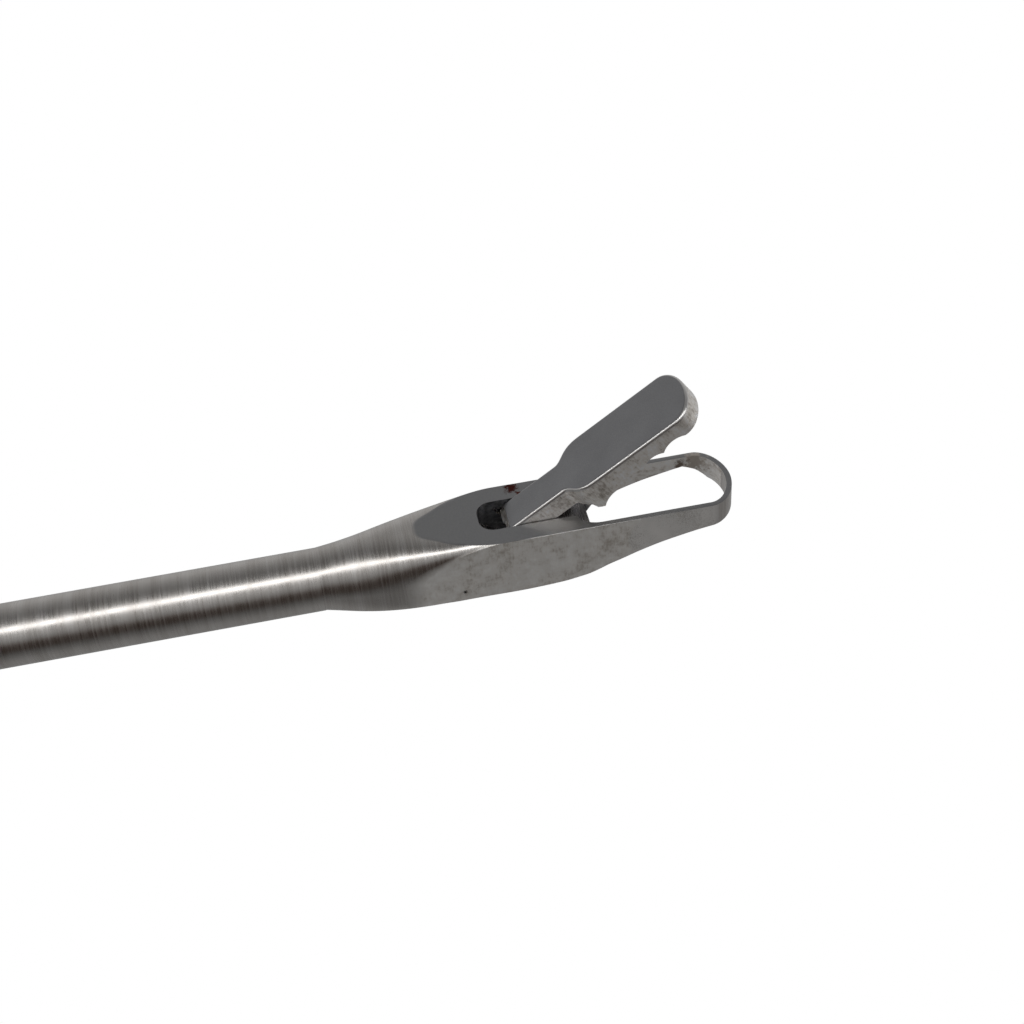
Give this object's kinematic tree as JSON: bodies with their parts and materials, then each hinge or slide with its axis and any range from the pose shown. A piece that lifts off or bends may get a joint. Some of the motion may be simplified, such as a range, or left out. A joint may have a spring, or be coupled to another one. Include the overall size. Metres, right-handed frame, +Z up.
{
  "type": "arthroscopic basket punch",
  "caption": "Ring-handled basket punch: slim tubular shaft, open-loop lower jaw, hinged serrated upper jaw worked by a sliding rod and scissor-type handles.",
  "frame": {"origin": "on the shaft axis, at the front face of the handle body where the shaft leaves it", "axes": "+X along the shaft towards the jaws, +Z up, the way the upper jaw opens; the ring handles hang towards -Z; Y=0 is the middle plane"},
  "size_m": [0.1819, 0.01, 0.1052],
  "materials": {
    "shaft_steel": "brushed round the shaft",
    "jaw_steel": "ground and lightly stained",
    "handle_steel": "satin",
    "screw_steel": "turned",
    "bush_bronze": "machined bronze"
  },
  "bodies": {
    "frame": {"shaft_tube": "shaft_steel", "jaw_head": "jaw_steel", "rod_guide_bush": "bush_bronze", "shaft_ferrule": "shaft_steel", "handle_body": "handle_steel", "tube_set_screw": "screw_steel", "handle_front": "handle_steel", "pivot_screw": "screw_steel", "pivot_washer_near": "bush_bronze", "pivot_washer_far": "bush_bronze", "front_handle_screw_1": "screw_steel", "front_handle_screw_2": "screw_steel"},
    "thumb_handle": {"handle_rear": "handle_steel", "stop_screw": "screw_steel", "stop_lock_nut": "screw_steel"},
    "pull_rod": {"drive_rod": "shaft_steel", "rod_clevis": "screw_steel", "rod_clevis_pin": "screw_steel", "rod_lock_nut": "screw_steel"},
    "cutting_jaw": {"upper_jaw": "jaw_steel", "jaw_link_pin": "screw_steel"}
  },
  "joints": [
    {"name": "handle_squeeze", "type": "hinge", "parent": "frame", "child": "thumb_handle", "pos_m": [-0.018, 0, -0.00599], "axis": [0, -1, 0], "range_deg": [0, 7.98]},
    {"name": "rod_slide", "type": "slide", "parent": "frame", "child": "pull_rod", "axis": [-1, 0, 0], "range_m": [0, 0.000835]},
    {"name": "jaw_close", "type": "hinge", "parent": "frame", "child": "cutting_jaw", "pos_m": [0.11755, 0, 0.00213], "axis": [0, 1, 0], "range_deg": [0, 34.7]}
  ],
  "couplings": [
    {"joint": "rod_slide", "follows": "handle_squeeze", "m_per_rad": 0.0059952},
    {"joint": "jaw_close", "follows": "handle_squeeze", "ratio": 4.3484}
  ]
}
